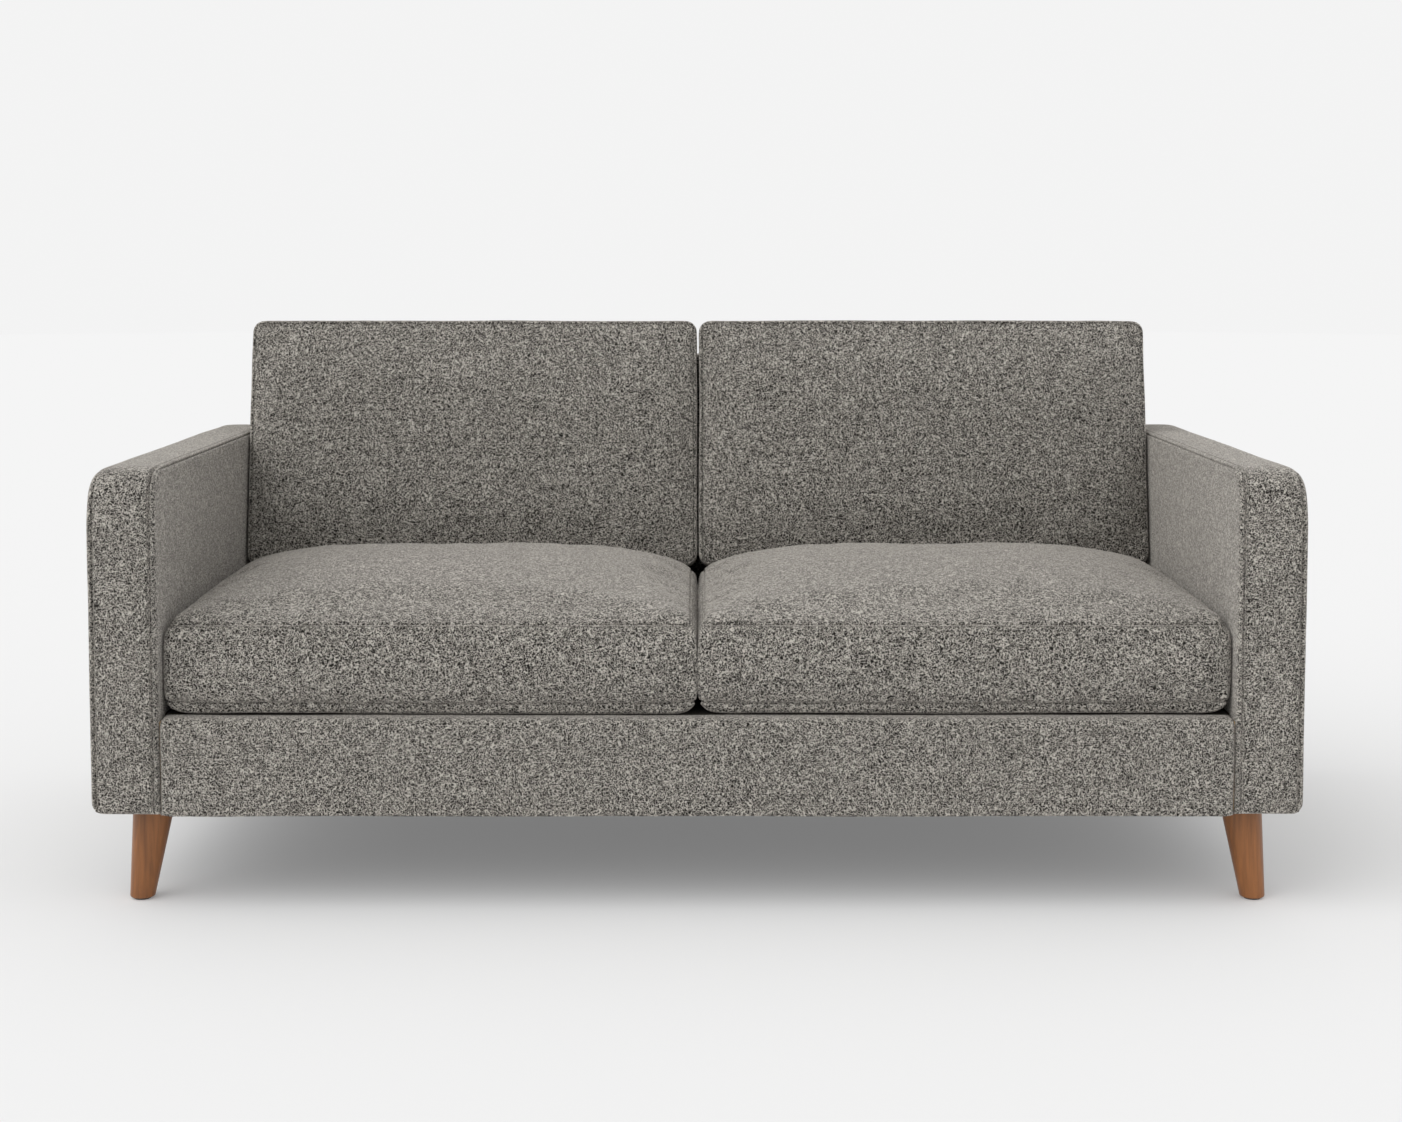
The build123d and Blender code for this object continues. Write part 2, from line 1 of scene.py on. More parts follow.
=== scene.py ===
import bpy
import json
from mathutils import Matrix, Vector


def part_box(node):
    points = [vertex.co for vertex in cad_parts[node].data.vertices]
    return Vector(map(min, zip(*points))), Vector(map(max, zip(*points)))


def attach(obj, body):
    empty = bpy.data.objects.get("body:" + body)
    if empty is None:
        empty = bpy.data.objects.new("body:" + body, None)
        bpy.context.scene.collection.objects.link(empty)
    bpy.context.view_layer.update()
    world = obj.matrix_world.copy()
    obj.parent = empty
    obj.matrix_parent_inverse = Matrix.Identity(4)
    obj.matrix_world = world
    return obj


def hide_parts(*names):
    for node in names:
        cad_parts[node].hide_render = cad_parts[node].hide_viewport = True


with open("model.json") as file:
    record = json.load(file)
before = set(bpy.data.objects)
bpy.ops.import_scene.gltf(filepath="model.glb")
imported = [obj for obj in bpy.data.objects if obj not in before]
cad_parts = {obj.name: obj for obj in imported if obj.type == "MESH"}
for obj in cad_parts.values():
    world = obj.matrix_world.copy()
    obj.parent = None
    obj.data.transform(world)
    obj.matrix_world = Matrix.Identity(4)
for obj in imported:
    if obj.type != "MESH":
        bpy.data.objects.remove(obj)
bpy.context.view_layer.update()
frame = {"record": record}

import json
import math

import bmesh
import bpy
from mathutils import Vector, noise
from mathutils.bvhtree import BVHTree

# Looks of a two-seat sofa in looped grey-brown cloth on splayed beech legs. Metres, +Z up.
# The front is -Y, and left is the -X side.
MM = 0.001
SIDES = (("left", -1.0), ("right", 1.0))


# ---- Small helpers ----
def linear(hex_colour):
    """An sRGB colour such as "747068" as the linear colour that shader sockets take."""
    channels = [int(hex_colour[place : place + 2], 16) / 255 for place in (0, 2, 4)]
    return (*[c / 12.92 if c <= 0.04045 else ((c + 0.055) / 1.055) ** 2.4 for c in channels], 1.0)


def smooth(value, low, high):
    """0 at low, 1 at high, and eased between."""
    t = min(max((value - low) / (high - low), 0.0), 1.0)
    return t * t * (3 - 2 * t)


def node_box(name):
    """The lowest and highest corners of a CAD node at rest."""
    return [Vector(corner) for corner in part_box(name)]


def add_node(tree, kind, inputs=None, out=0, stops=None, **settings):
    """Adds a shader node, sets its settings, sets or links its inputs, and gives one output.

    stops are a colour ramp's (place, colour) pairs, lowest place first.
    """
    node = tree.nodes.new(kind)
    for name, value in settings.items():
        setattr(node, name, value)
    for name, value in (inputs or {}).items():
        if isinstance(value, bpy.types.NodeSocket):
            tree.links.new(value, node.inputs[name])
        else:
            node.inputs[name].default_value = value
    if stops:
        elements = node.color_ramp.elements
        for element, (place, colour) in zip(elements, (stops[0], stops[-1])):
            element.position = place
            element.color = colour
        for place, colour in stops[1:-1]:
            elements.new(place).color = colour
    return node.outputs[out] if len(node.outputs) else None


def new_material(name):
    """An empty node material, and the place on the piece in metres that its patterns start from."""
    material = bpy.data.materials.new(name)
    material.use_nodes = True
    tree = material.node_tree
    tree.nodes.clear()
    return material, tree, add_node(tree, "ShaderNodeTexCoord", out="Object")


def finish_material(material, inputs):
    """Gives the material its surface, with these inputs on the principled shader."""
    tree = material.node_tree
    shader = add_node(tree, "ShaderNodeBsdfPrincipled", inputs)
    add_node(tree, "ShaderNodeOutputMaterial", {"Surface": shader})
    return material


# ---- Materials ----
NOISE_BLOTCH = 0.5  # metres across, about, at a noise scale of 1
WAVE_PERIOD = 0.314  # metres from band to band, at a wave scale of 1
# the near-black between the loops: darker yarn with painted shade of the hollows
YARN_GAP_SHADE = "161412"
YARN_BODY = "5e5b55"
YARN_LOOP = "c0bbb2"
FINE_LOOP = 1.5 * MM
COARSE_LOOP = 2.6 * MM
DYE_PATCH = 5.5 * MM


def yarn_loops(tree, place, size, width):
    """Thin curling lines along the middle level of a noise, like the loops of a fancy yarn."""
    field = add_node(
        tree,
        "ShaderNodeTexNoise",
        {"Vector": place, "Scale": NOISE_BLOTCH / size, "Detail": 0.6, "Distortion": 0.35},
    )
    off_level = add_node(tree, "ShaderNodeMath", {0: field, 1: 0.5}, operation="SUBTRACT")
    away = add_node(tree, "ShaderNodeMath", {0: off_level}, operation="ABSOLUTE")
    return add_node(
        tree,
        "ShaderNodeMapRange",
        {"Value": away, "From Min": 0.0, "From Max": width, "To Min": 1.0, "To Max": 0.0},
        interpolation_type="SMOOTHSTEP",
    )


def boucle_cloth():
    """Woven wool-blend boucle: dry and matt, pale curled loops standing over dark gaps, whose
    near-black is partly darker yarn and partly painted shade in the hollows between the loops.

    The loops of such a yarn are 1 to 2 mm across, and here they are drawn at 2 to 3 mm so that
    they still show from across a room.
    """
    material, tree, place = new_material("boucle_wool_blend_grey_brown")
    fine = yarn_loops(tree, place, FINE_LOOP, 0.085)
    coarse = yarn_loops(tree, place, COARSE_LOOP, 0.06)
    thin = add_node(tree, "ShaderNodeMath", {0: fine, 1: 0.85}, operation="MULTIPLY")
    loops = add_node(tree, "ShaderNodeMath", {0: thin, 1: coarse}, operation="MAXIMUM")
    patches = add_node(
        tree,
        "ShaderNodeTexNoise",
        {"Vector": place, "Scale": NOISE_BLOTCH / DYE_PATCH, "Detail": 3.0},
    )
    dyeing = add_node(tree, "ShaderNodeMath", {0: patches, 1: 0.42}, operation="MULTIPLY")
    mottled = add_node(
        tree, "ShaderNodeMath", {0: loops, 1: 0.8, 2: dyeing}, operation="MULTIPLY_ADD"
    )
    colour = add_node(
        tree,
        "ShaderNodeValToRGB",
        {"Fac": mottled},
        stops=((0.21, linear(YARN_GAP_SHADE)), (0.5, linear(YARN_BODY)), (0.86, linear(YARN_LOOP))),
    )
    bump = add_node(tree, "ShaderNodeBump", {"Height": loops, "Strength": 0.6, "Distance": 1.1 * MM})
    return finish_material(
        material,
        {
            "Base Color": colour,
            "Normal": bump,
            "Roughness": 0.95,
            "Specular IOR Level": 0.15,
            "Sheen Weight": 0.5,
            "Sheen Tint": linear("fff8f0"),
            "Sheen Roughness": 0.5,
        },
    )


def plain_weave(name, warp_hex, weft_hex, thread, roughness=0.9):
    """A plain woven cloth whose two thread colours cross at every thread, matt and even."""
    material, tree, place = new_material(name)
    waves = [
        add_node(
            tree,
            "ShaderNodeTexWave",
            {"Vector": place, "Scale": WAVE_PERIOD / thread, "Distortion": 0.6, "Detail": 1.0},
            out="Fac",
            wave_type="BANDS",
            bands_direction=direction,
        )
        for direction in ("X", "Y")
    ]
    crossing = add_node(tree, "ShaderNodeMath", dict(enumerate(waves)), operation="MULTIPLY")
    colour = add_node(
        tree,
        "ShaderNodeValToRGB",
        {"Fac": crossing},
        stops=((0.0, linear(warp_hex)), (1.0, linear(weft_hex))),
    )
    bump = add_node(
        tree, "ShaderNodeBump", {"Height": crossing, "Strength": 0.4, "Distance": thread / 2}
    )
    return finish_material(
        material,
        {"Base Color": colour, "Normal": bump, "Roughness": roughness, "Specular IOR Level": 0.2},
    )


def straight_grained_wood(name, dark_hex, light_hex, along, roughness, grain, figure):
    """Wood with fine dark streaks along one axis, which also break up its gloss.

    grain is the width of a streak, and figure is how strongly the streaks show.
    """
    material, tree, place = new_material(name)
    stretch = [0.06 if axis == along else 1.0 for axis in "XYZ"]
    run = add_node(tree, "ShaderNodeMapping", {"Vector": place, "Scale": stretch})
    streaks = add_node(
        tree,
        "ShaderNodeTexNoise",
        {
            "Vector": run,
            "Scale": NOISE_BLOTCH / grain,
            "Detail": 5.0,
            "Roughness": 0.6,
            "Distortion": 0.4,
        },
    )
    clouds = add_node(
        tree,
        "ShaderNodeTexNoise",
        {"Vector": run, "Scale": NOISE_BLOTCH / (6 * grain), "Detail": 2.0},
    )
    soft = add_node(tree, "ShaderNodeMath", {0: clouds, 1: 1 - figure}, operation="MULTIPLY")
    mixed = add_node(
        tree, "ShaderNodeMath", {0: streaks, 1: figure, 2: soft}, operation="MULTIPLY_ADD"
    )
    colour = add_node(
        tree,
        "ShaderNodeValToRGB",
        {"Fac": mixed},
        stops=((0.32, linear(dark_hex)), (0.68, linear(light_hex))),
    )
    polish = add_node(
        tree, "ShaderNodeMath", {0: streaks, 1: 0.12, 2: roughness - 0.06}, operation="MULTIPLY_ADD"
    )
    bump = add_node(tree, "ShaderNodeBump", {"Height": streaks, "Strength": 0.15, "Distance": 0.4 * MM})
    return finish_material(
        material, {"Base Color": colour, "Normal": bump, "Roughness": polish, "IOR": 1.5}
    )


def bare_metal(name, hex_colour, roughness):
    """Steel as drawn or plated: metallic, with a fine uneven polish from its finish."""
    material, tree, place = new_material(name)
    marks = add_node(
        tree,
        "ShaderNodeTexNoise",
        {"Vector": place, "Scale": NOISE_BLOTCH / (0.6 * MM), "Detail": 3.0},
    )
    polish = add_node(
        tree, "ShaderNodeMath", {0: marks, 1: 0.2, 2: roughness - 0.1}, operation="MULTIPLY_ADD"
    )
    bump = add_node(tree, "ShaderNodeBump", {"Height": marks, "Strength": 0.1, "Distance": 0.1 * MM})
    colour = linear(hex_colour)
    return finish_material(
        material, {"Base Color": colour, "Metallic": 1.0, "Normal": bump, "Roughness": polish}
    )


def celled_filling(name, dark_hex, light_hex, cell):
    """Foam, felt or pressed fibre: fully matt, pitted or matted at the size of its cells."""
    material, tree, place = new_material(name)
    pits = add_node(tree, "ShaderNodeTexVoronoi", {"Vector": place, "Scale": 1 / cell})
    colour = add_node(
        tree,
        "ShaderNodeValToRGB",
        {"Fac": pits},
        stops=((0.1, linear(dark_hex)), (0.7, linear(light_hex))),
    )
    bump = add_node(tree, "ShaderNodeBump", {"Height": pits, "Strength": 0.5, "Distance": cell / 2})
    return finish_material(material, {"Base Color": colour, "Normal": bump, "Roughness": 1.0})


def moulded_nylon(name, hex_colour, roughness):
    """Injection-moulded nylon: a dull gloss over the fine texture of the mould."""
    material, tree, place = new_material(name)
    texture = add_node(
        tree, "ShaderNodeTexNoise", {"Vector": place, "Scale": NOISE_BLOTCH / (0.4 * MM)}
    )
    polish = add_node(
        tree, "ShaderNodeMath", {0: texture, 1: 0.1, 2: roughness - 0.05}, operation="MULTIPLY_ADD"
    )
    bump = add_node(tree, "ShaderNodeBump", {"Height": texture, "Strength": 0.2, "Distance": 0.1 * MM})
    colour = linear(hex_colour)
    return finish_material(
        material, {"Base Color": colour, "Normal": bump, "Roughness": polish, "IOR": 1.53}
    )


def spun_thread(name, dark_hex, light_hex, ply):
    """Spun polyester sewing thread: slightly silky, with the slant of its twisted plies."""
    material, tree, place = new_material(name)
    slant = add_node(
        tree,
        "ShaderNodeTexWave",
        {"Vector": place, "Scale": WAVE_PERIOD / ply, "Distortion": 0.4},
        out="Fac",
        bands_direction="DIAGONAL",
    )
    colour = add_node(
        tree,
        "ShaderNodeValToRGB",
        {"Fac": slant},
        stops=((0.0, linear(dark_hex)), (1.0, linear(light_hex))),
    )
    bump = add_node(tree, "ShaderNodeBump", {"Height": slant, "Strength": 0.3, "Distance": ply / 4})
    return finish_material(
        material, {"Base Color": colour, "Normal": bump, "Roughness": 0.7, "Sheen Weight": 0.1}
    )


fabric = boucle_cloth()
# a shade darker than the cloth, with no more shine than its twist gives
sewing_thread = spun_thread("polyester_sewing_thread", "57534d", "7b766e", 0.5 * MM)
SLOT_LOOKS = {
    "upholstery_fabric": fabric,
    # cream, with open cells where it is cut
    "upholstery_foam": celled_filling("polyurethane_foam", "cfc39b", "efe6c6", 1.2 * MM),
    # grey waste fibre, matted by needles
    "felt": celled_filling("needled_felt", "7d7870", "aca69c", 2.0 * MM),
    # dark plain cotton, dull and even
    "platform_cloth": plain_weave("cotton_platform_cloth", "3b3835", "6a655f", 0.9 * MM),
    # black and fully matt
    "dust_cloth": plain_weave("spunbonded_dust_cloth", "0d0d0d", "262626", 0.8 * MM),
    # pale and dull from the saw, with a wide grain
    "frame_timber": straight_grained_wood(
        "sawn_pine", "a88657", "d3b27f", "X", 0.8, 6.0 * MM, 0.6
    ),
    # warm mid-brown stain under a satin lacquer, with short fine streaks
    "leg_timber": straight_grained_wood(
        "stained_beech_satin_lacquer", "69401f", "9b6232", "Z", 0.36, 2.5 * MM, 0.55
    ),
    # brown and matt, of pressed wood fibre
    "hardboard": celled_filling("pressed_hardboard", "4b3523", "7a5a3c", 1.5 * MM),
    # dark grey from the oil it was hardened in
    "spring_steel": bare_metal("oil_tempered_spring_steel", "55565a", 0.4),
    # bright grey plating
    "zinc_steel": bare_metal("zinc_plated_steel", "aeb2b5", 0.32),
    # black and grey threads with rubber between them
    "webbing_strap": plain_weave("elastic_webbing", "1f1f20", "4a4a4b", 1.5 * MM),
    # black, with the dull gloss of its mould
    "glide_plastic": moulded_nylon("black_moulded_nylon", "141312", 0.45),
    # dark brown, close to the shade of the cloth in shadow
    "zip_tape": plain_weave("zip_tape", "2b2825", "4a4642", 0.7 * MM),
}

# every CAD node takes the look of its material slot
for part in frame["record"]["subparts"]:
    node = bpy.data.objects.get(part["node"])
    for place in node.material_slots:
        place.material = SLOT_LOOKS[part["material_slot"]]


# ---- Padded forms ----
# Places of the mesh lines near an edge, so that roundings and seams keep their shape.
EDGE_STEPS = [step * MM for step in (0.0, 1.5, 3.0, 5.0, 8.0, 12.0, 17.0, 24.0, 34.0)]
SEAM_HALF = 2.0 * MM  # a sewn line has mesh lines at it and this far to each side
LINE_CLEARANCE = 3.2 * MM  # and no other mesh line comes closer than this
SEAM_DEPTH = 7.0 * MM
SEAM_WIDTH = 1.6 * MM
EDGE_SEAM_DEPTH = 6.5 * MM
COVER = 2.0 * MM
CUSHION_STEP = 13 * MM  # the mesh's spacing on the cushions
PANEL_STEP = 14 * MM
BROAD_WAVES = 5.0  # hollows per metre, about
BROAD_HEIGHT = 1.6 * MM
SMALL_WAVES = 16.0
SMALL_HEIGHT = 0.7 * MM
TIGHT_SHARE = 0.6  # a tight cover keeps only this share of the unevenness
FILLING_PRESSURE = 1.4
CUSHION_FILL = 0.8
TIGHT_FILL = 1.0
COVER_SLACK = 0.012  # a cushion's cover is cut larger than its filling by this share
SWELLING_FRAMES = 14


def mesh_lines(length, step, seams=()):
    """Places from 0 to length, close together near both ends and at each seam."""
    near = [value for value in EDGE_STEPS if value < length * 0.4]
    middle = length - 2 * near[-1]
    count = max(2, round(middle / step))
    between = [near[-1] + middle * turn / count for turn in range(1, count)]
    lines = near + between + [length - value for value in near]
    for seam in seams:
        lines = [value for value in lines if abs(value - seam) > LINE_CLEARANCE]
        lines += [seam - SEAM_HALF, seam, seam + SEAM_HALF]
    return sorted(lines)


def finish_piece(name, mesh, material):
    """Turns a bmesh into a smooth-shaded piece of the scene."""
    bmesh.ops.recalc_face_normals(mesh, faces=mesh.faces)
    data = bpy.data.meshes.new(name)
    mesh.to_mesh(data)
    mesh.free()
    for face in data.polygons:
        face.use_smooth = True
    data.materials.append(material)
    piece = bpy.data.objects.new(name, data)
    bpy.context.scene.collection.objects.link(piece)
    return piece


def padded_box(name, size, step, shape, keep=None, seams=((), (), ())):
    """A quad shell over a box of that size, whose points shape() moves into place.

    shape takes a point on the flat-sided box, from 0 to size on each axis. keep, if given,
    says from a face's middle whether the face is there, and seams gives the places of sewn
    lines on each axis. Returns the piece and, for each of its vertices, the place on the
    flat-sided box.
    """
    lines = [mesh_lines(length, step, sewn) for length, sewn in zip(size, seams)]
    counts = [len(line) - 1 for line in lines]
    mesh = bmesh.new()
    points, flats = {}, []

    def point(key):
        if key not in points:
            flat = tuple(line[index] for line, index in zip(lines, key))
            points[key] = mesh.verts.new(shape(flat))
            flats.append(flat)
        return points[key]

    for axis in range(3):
        across, up = [other for other in range(3) if other != axis]
        for end in (0, counts[axis]):
            for i in range(counts[across]):
                for j in range(counts[up]):
                    keys = []
                    for di, dj in ((0, 0), (1, 0), (1, 1), (0, 1)):
                        key = [0, 0, 0]
                        key[axis], key[across], key[up] = end, i + di, j + dj
                        keys.append(tuple(key))
                    corners = [[line[index] for line, index in zip(lines, key)] for key in keys]
                    middle = [sum(values) / 4 for values in zip(*corners)]
                    if keep is None or keep(middle):
                        mesh.faces.new([point(key) for key in keys])
    return finish_piece(name, mesh, fabric), flats


def rounded(flat, size, radii):
    """Rounds a box's edges; radii gives the radius at the low and the high end of each axis."""
    core, reach, used = [], [], []
    for value, length, (low, high) in zip(flat, size, radii):
        inner = min(max(value, low), length - high)
        radius = low if value < length / 2 else high
        core.append(inner)
        used.append(radius)
        reach.append((value - inner) / radius if radius else 0.0)
    length = math.sqrt(sum(value * value for value in reach)) or 1.0
    return [inner + radius * share / length for inner, radius, share in zip(core, used, reach)]


def round_corner(depth_a, depth_b, radius):
    """Bends a square corner into an arc; depths are measured in from the two faces that meet."""
    a, b = radius - depth_a, radius - depth_b
    if a <= 0 or b <= 0:
        return depth_a, depth_b
    share = max(a, b) / math.hypot(a, b)
    return radius - a * share, radius - b * share


def push_along_normals(piece, amounts):
    """Moves each vertex along its own normal by its amount."""
    normals = [vertex.normal.copy() for vertex in piece.data.vertices]
    for vertex, normal, amount in zip(piece.data.vertices, normals, amounts):
        vertex.co += normal * amount
    piece.data.update()


def unevenness(place, seed):
    """The slight hollows and swellings of hand-filled upholstery."""
    broad = noise.noise(Vector(place) * BROAD_WAVES + Vector((seed, 0, 0)))
    small = noise.noise(Vector(place) * SMALL_WAVES + Vector((0, seed, 0)))
    return BROAD_HEIGHT * broad + SMALL_HEIGHT * small


def groove(distance, depth, width=SEAM_WIDTH):
    """How far a sewn line pulls the cloth in at a distance from it."""
    return -depth * math.exp(-((distance / width) ** 2))


def soften(piece, thickness=0.0):
    """Adds the cover's thickness, if it is open, and one subdivision."""
    if thickness:
        solid = piece.modifiers.new("thickness", "SOLIDIFY")
        solid.thickness = thickness
        solid.offset = -1.0
    smoothing = piece.modifiers.new("smooth", "SUBSURF")
    smoothing.levels = 1
    smoothing.render_levels = 1


def swell(piece, cap, pinned):
    """Blows the cover out like a filled cushion by cloth simulation, by no more than cap.

    pinned holds 1 for each vertex that stays where it is, and 0 for the others.
    """
    before = [vertex.co.copy() for vertex in piece.data.vertices]
    group = piece.vertex_groups.new(name="held")
    for index, weight in enumerate(pinned):
        if weight > 0:
            group.add([index], weight, "REPLACE")
    cloth = piece.modifiers.new("cloth", "CLOTH")
    # a closely woven cover: stiff to stretch and easy to bend
    settings = cloth.settings
    settings.quality = 5
    settings.mass = 0.4
    settings.tension_stiffness = 12
    settings.compression_stiffness = 8
    settings.shear_stiffness = 6
    settings.bending_stiffness = 1.2
    settings.air_damping = 2
    settings.use_pressure = True
    settings.uniform_pressure_force = FILLING_PRESSURE
    settings.shrink_min = -COVER_SLACK
    settings.effector_weights.gravity = 0
    settings.vertex_group_mass = "held"
    cloth.collision_settings.use_collision = False
    scene = bpy.context.scene
    cloth.point_cache.frame_start = 1
    cloth.point_cache.frame_end = SWELLING_FRAMES
    for frame_number in range(1, SWELLING_FRAMES + 1):
        scene.frame_set(frame_number)
    graph = bpy.context.evaluated_depsgraph_get()
    blown = [vertex.co.copy() for vertex in piece.evaluated_get(graph).data.vertices]
    piece.modifiers.remove(cloth)
    piece.vertex_groups.remove(group)
    for vertex, start, end in zip(piece.data.vertices, before, blown):
        move = end - start
        if move.length > cap:
            move *= cap / move.length
        vertex.co = start + move
    piece.data.update()
    scene.frame_set(1)


def declare_cover(piece, body, fill, *nodes):
    """Hangs an upholstered piece on the body it rides on, and hides the CAD nodes it stands for. What
    it is made of, fill, is not used.
    """
    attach(piece, body)
    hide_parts(*nodes)


# ---- Stitching ----
STITCH_LENGTH = 4.6 * MM
STITCH_PITCH = 7.0 * MM
THREAD_RADIUS = 0.7 * MM
STITCH_PROFILE = ((-1.0, 0.2), (-0.7, 0.9), (0.0, 1.0), (0.7, 0.9), (1.0, 0.2))  # place, radius
STITCH_SIDES = 6


def stitch_row(name, cover, body, routes):
    """Rows of raised stitches lying on a cover, along routes of points close to its surface."""
    graph = bpy.context.evaluated_depsgraph_get()
    surface = BVHTree.FromObject(cover, graph)
    mesh = bmesh.new()
    for route in routes:
        travelled = 0.0
        for start, end in zip(route, route[1:]):
            length = (end - start).length
            ahead = (end - start).normalized()
            while travelled < length:
                spot, normal, _, _ = surface.find_nearest(start + ahead * travelled)
                travelled += STITCH_PITCH
                across = normal.cross(ahead).normalized()
                along = across.cross(normal).normalized()
                rings = []
                for place, swelling in STITCH_PROFILE:
                    centre = spot + along * (place * STITCH_LENGTH / 2)
                    ring = []
                    for turn in range(STITCH_SIDES):
                        angle = 2 * math.pi * turn / STITCH_SIDES
                        out = across * math.cos(angle) + normal * math.sin(angle)
                        ring.append(mesh.verts.new(centre + out * (THREAD_RADIUS * swelling)))
                    rings.append(ring)
                for near, far in zip(rings, rings[1:]):
                    for turn in range(STITCH_SIDES):
                        other = (turn + 1) % STITCH_SIDES
                        mesh.faces.new((near[turn], near[other], far[other], far[turn]))
                mesh.faces.new(rings[0])
                mesh.faces.new(rings[-1])
            travelled -= length
    stitches = finish_piece(name, mesh, sewing_thread)
    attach(stitches, body)


def route_of(shape, points, spacing=12 * MM):
    """The places that shape() gives along straight runs between points on the flat-sided box."""
    route = []
    for start, end in zip(points, points[1:]):
        start, end = Vector(start), Vector(end)
        count = max(1, round((end - start).length / spacing))
        route += [shape(tuple(start.lerp(end, turn / count))) for turn in range(count)]
    return route + [shape(tuple(points[-1]))]


# ---- Arms ----
ARM_ROLL = 46 * MM  # where the front and the rear run over into the top
ARM_TOP_SIDE_RADIUS = 28 * MM
ARM_END_SIDE_RADIUS = 10 * MM
ARM_BOTTOM_SIDE_RADIUS = 18 * MM
ARM_BOTTOM_END_RADIUS = 9 * MM
BAND_SEAM = 8 * MM  # each seam stands in from the edge of the band
INNER_WALL_RETURN = 50 * MM  # how far the inner panel runs back below the deck
HEM = 20 * MM  # what is turned under and stapled
STITCH_OFFSET = 3.5 * MM
STITCH_LOWEST = 14 * MM
FULL_TOP_ROUNDING = 10 * MM  # below the top, the outer edge is fully rounded down to here
TOP_ROUNDING_END = 90 * MM  # and has the end's small rounding from here
EDGE_SEAM_START = 30 * MM  # from the ends, the inner seam moves to the edge between these
EDGE_SEAM_FULL = 80 * MM
BAND_PADDING = 1.5 * MM
DECK_TUCK = 2 * MM  # the inner panel goes this far below the top of the deck cloth
ARM_SEED = 3.0
deck_top = node_box("deck_cloth")[1].z
arm_low, arm_high = node_box("arm_right_cover")


def make_arm_cover(side_name, side):
    """A tight cover: one band up the front and over the top, between an outer and an inner panel."""
    size = tuple(arm_high - arm_low)
    width, length, height = size
    inner_end = deck_top - arm_low.z - DECK_TUCK

    def shape(flat):
        x, y, z = flat
        from_end = min(y, length - y)
        from_top = height - z
        depth = min(from_end, from_top)
        # the edge between the band and a side panel
        near_side = min(x, width - x)
        top_share = smooth(from_top, TOP_ROUNDING_END, FULL_TOP_ROUNDING) if x < width / 2 else 0.0
        radius = ARM_END_SIDE_RADIUS + (ARM_TOP_SIDE_RADIUS - ARM_END_SIDE_RADIUS) * top_share
        new_side, new_depth = round_corner(near_side, depth, radius)
        # the roll from the end into the top
        a, b = ARM_ROLL - from_end, ARM_ROLL - from_top
        if a > 0 and b > 0:
            share = (ARM_ROLL - new_depth) / math.hypot(a, b)
            from_end, from_top = ARM_ROLL - a * share, ARM_ROLL - b * share
        elif from_end < from_top:
            from_end = new_depth
        else:
            from_top = new_depth
        # the lower edge
        z = height - from_top
        if x < width / 2:
            new_side, z = round_corner(new_side, z, ARM_BOTTOM_SIDE_RADIUS)
        from_end, z = round_corner(from_end, z, ARM_BOTTOM_END_RADIUS)
        x = new_side if x < width / 2 else width - new_side
        y = from_end if y < length / 2 else length - from_end
        # the outer panel stands at the low end of x, and mirrors to either side
        return Vector((side * (arm_high.x - x), arm_low.y + y, arm_low.z + z))

    def keep(middle):
        x, y, z = middle
        from_end = min(y, length - y)
        hem = z == 0 and min(from_end, x) < HEM
        wall_below_deck = x == width and z < inner_end and from_end > INNER_WALL_RETURN
        return hem or (z > 0 and not wall_below_deck)

    seams = ((BAND_SEAM, width - BAND_SEAM), (), ())
    name = f"arm_{side_name}_tight_cover"
    piece, flats = padded_box(name, size, PANEL_STEP, shape, keep, seams)
    amounts = []
    for vertex, (x, y, z) in zip(piece.data.vertices, flats):
        amount = unevenness(vertex.co, ARM_SEED * side) * TIGHT_SHARE
        on_band = z > 0 and (y == 0 or y == length or z == height)
        # on top, the inner seam runs along the very edge
        from_end = min(y, length - y)
        on_edge = smooth(from_end, EDGE_SEAM_START, EDGE_SEAM_FULL) if z > height / 2 else 0.0
        amount += on_edge * groove(math.hypot(width - x, height - z), SEAM_DEPTH)
        if on_band:
            amount += groove(x - BAND_SEAM, SEAM_DEPTH)
            amount += (1 - on_edge) * groove(width - BAND_SEAM - x, SEAM_DEPTH)
            # the padding between the seams stands a little proud
            share = min(max((x - BAND_SEAM) / (width - 2 * BAND_SEAM), 0), 1)
            amount += BAND_PADDING * math.sin(math.pi * share)
        amounts.append(amount)
    push_along_normals(piece, amounts)
    soften(piece, COVER)
    declare_cover(piece, "frame", TIGHT_FILL, f"arm_{side_name}_cover", f"arm_{side_name}_foam")
    routes = []
    for x in (BAND_SEAM + STITCH_OFFSET, width - BAND_SEAM - STITCH_OFFSET):
        low = STITCH_LOWEST
        corners = ((x, 0, low), (x, 0, height), (x, length, height), (x, length, low))
        routes.append(route_of(shape, corners))
    stitch_row(f"arm_{side_name}_stitching", piece, "frame", routes)


for side_name, side in SIDES:
    make_arm_cover(side_name, side)


# ---- Front rail, inside back and outside back ----
def make_panel(name, low, high, radii, keep, nodes, seed, shift=None):
    """A tight padded panel of the frame, rounded at its edges; shift() may lean it."""
    size = tuple(high - low)

    def shape(flat):
        x, y, z = rounded(flat, size, radii)
        place = Vector((low.x + x, low.y + y, low.z + z))
        return shift(place) if shift else place

    piece, _ = padded_box(name, size, PANEL_STEP, shape, keep)
    vertices = piece.data.vertices
    push_along_normals(piece, [unevenness(vertex.co, seed) * TIGHT_SHARE for vertex in vertices])
    soften(piece, COVER)
    declare_cover(piece, "frame", TIGHT_FILL, *nodes)


ARM_GAP = 2 * MM  # the rail's cover is pushed tight against the arms
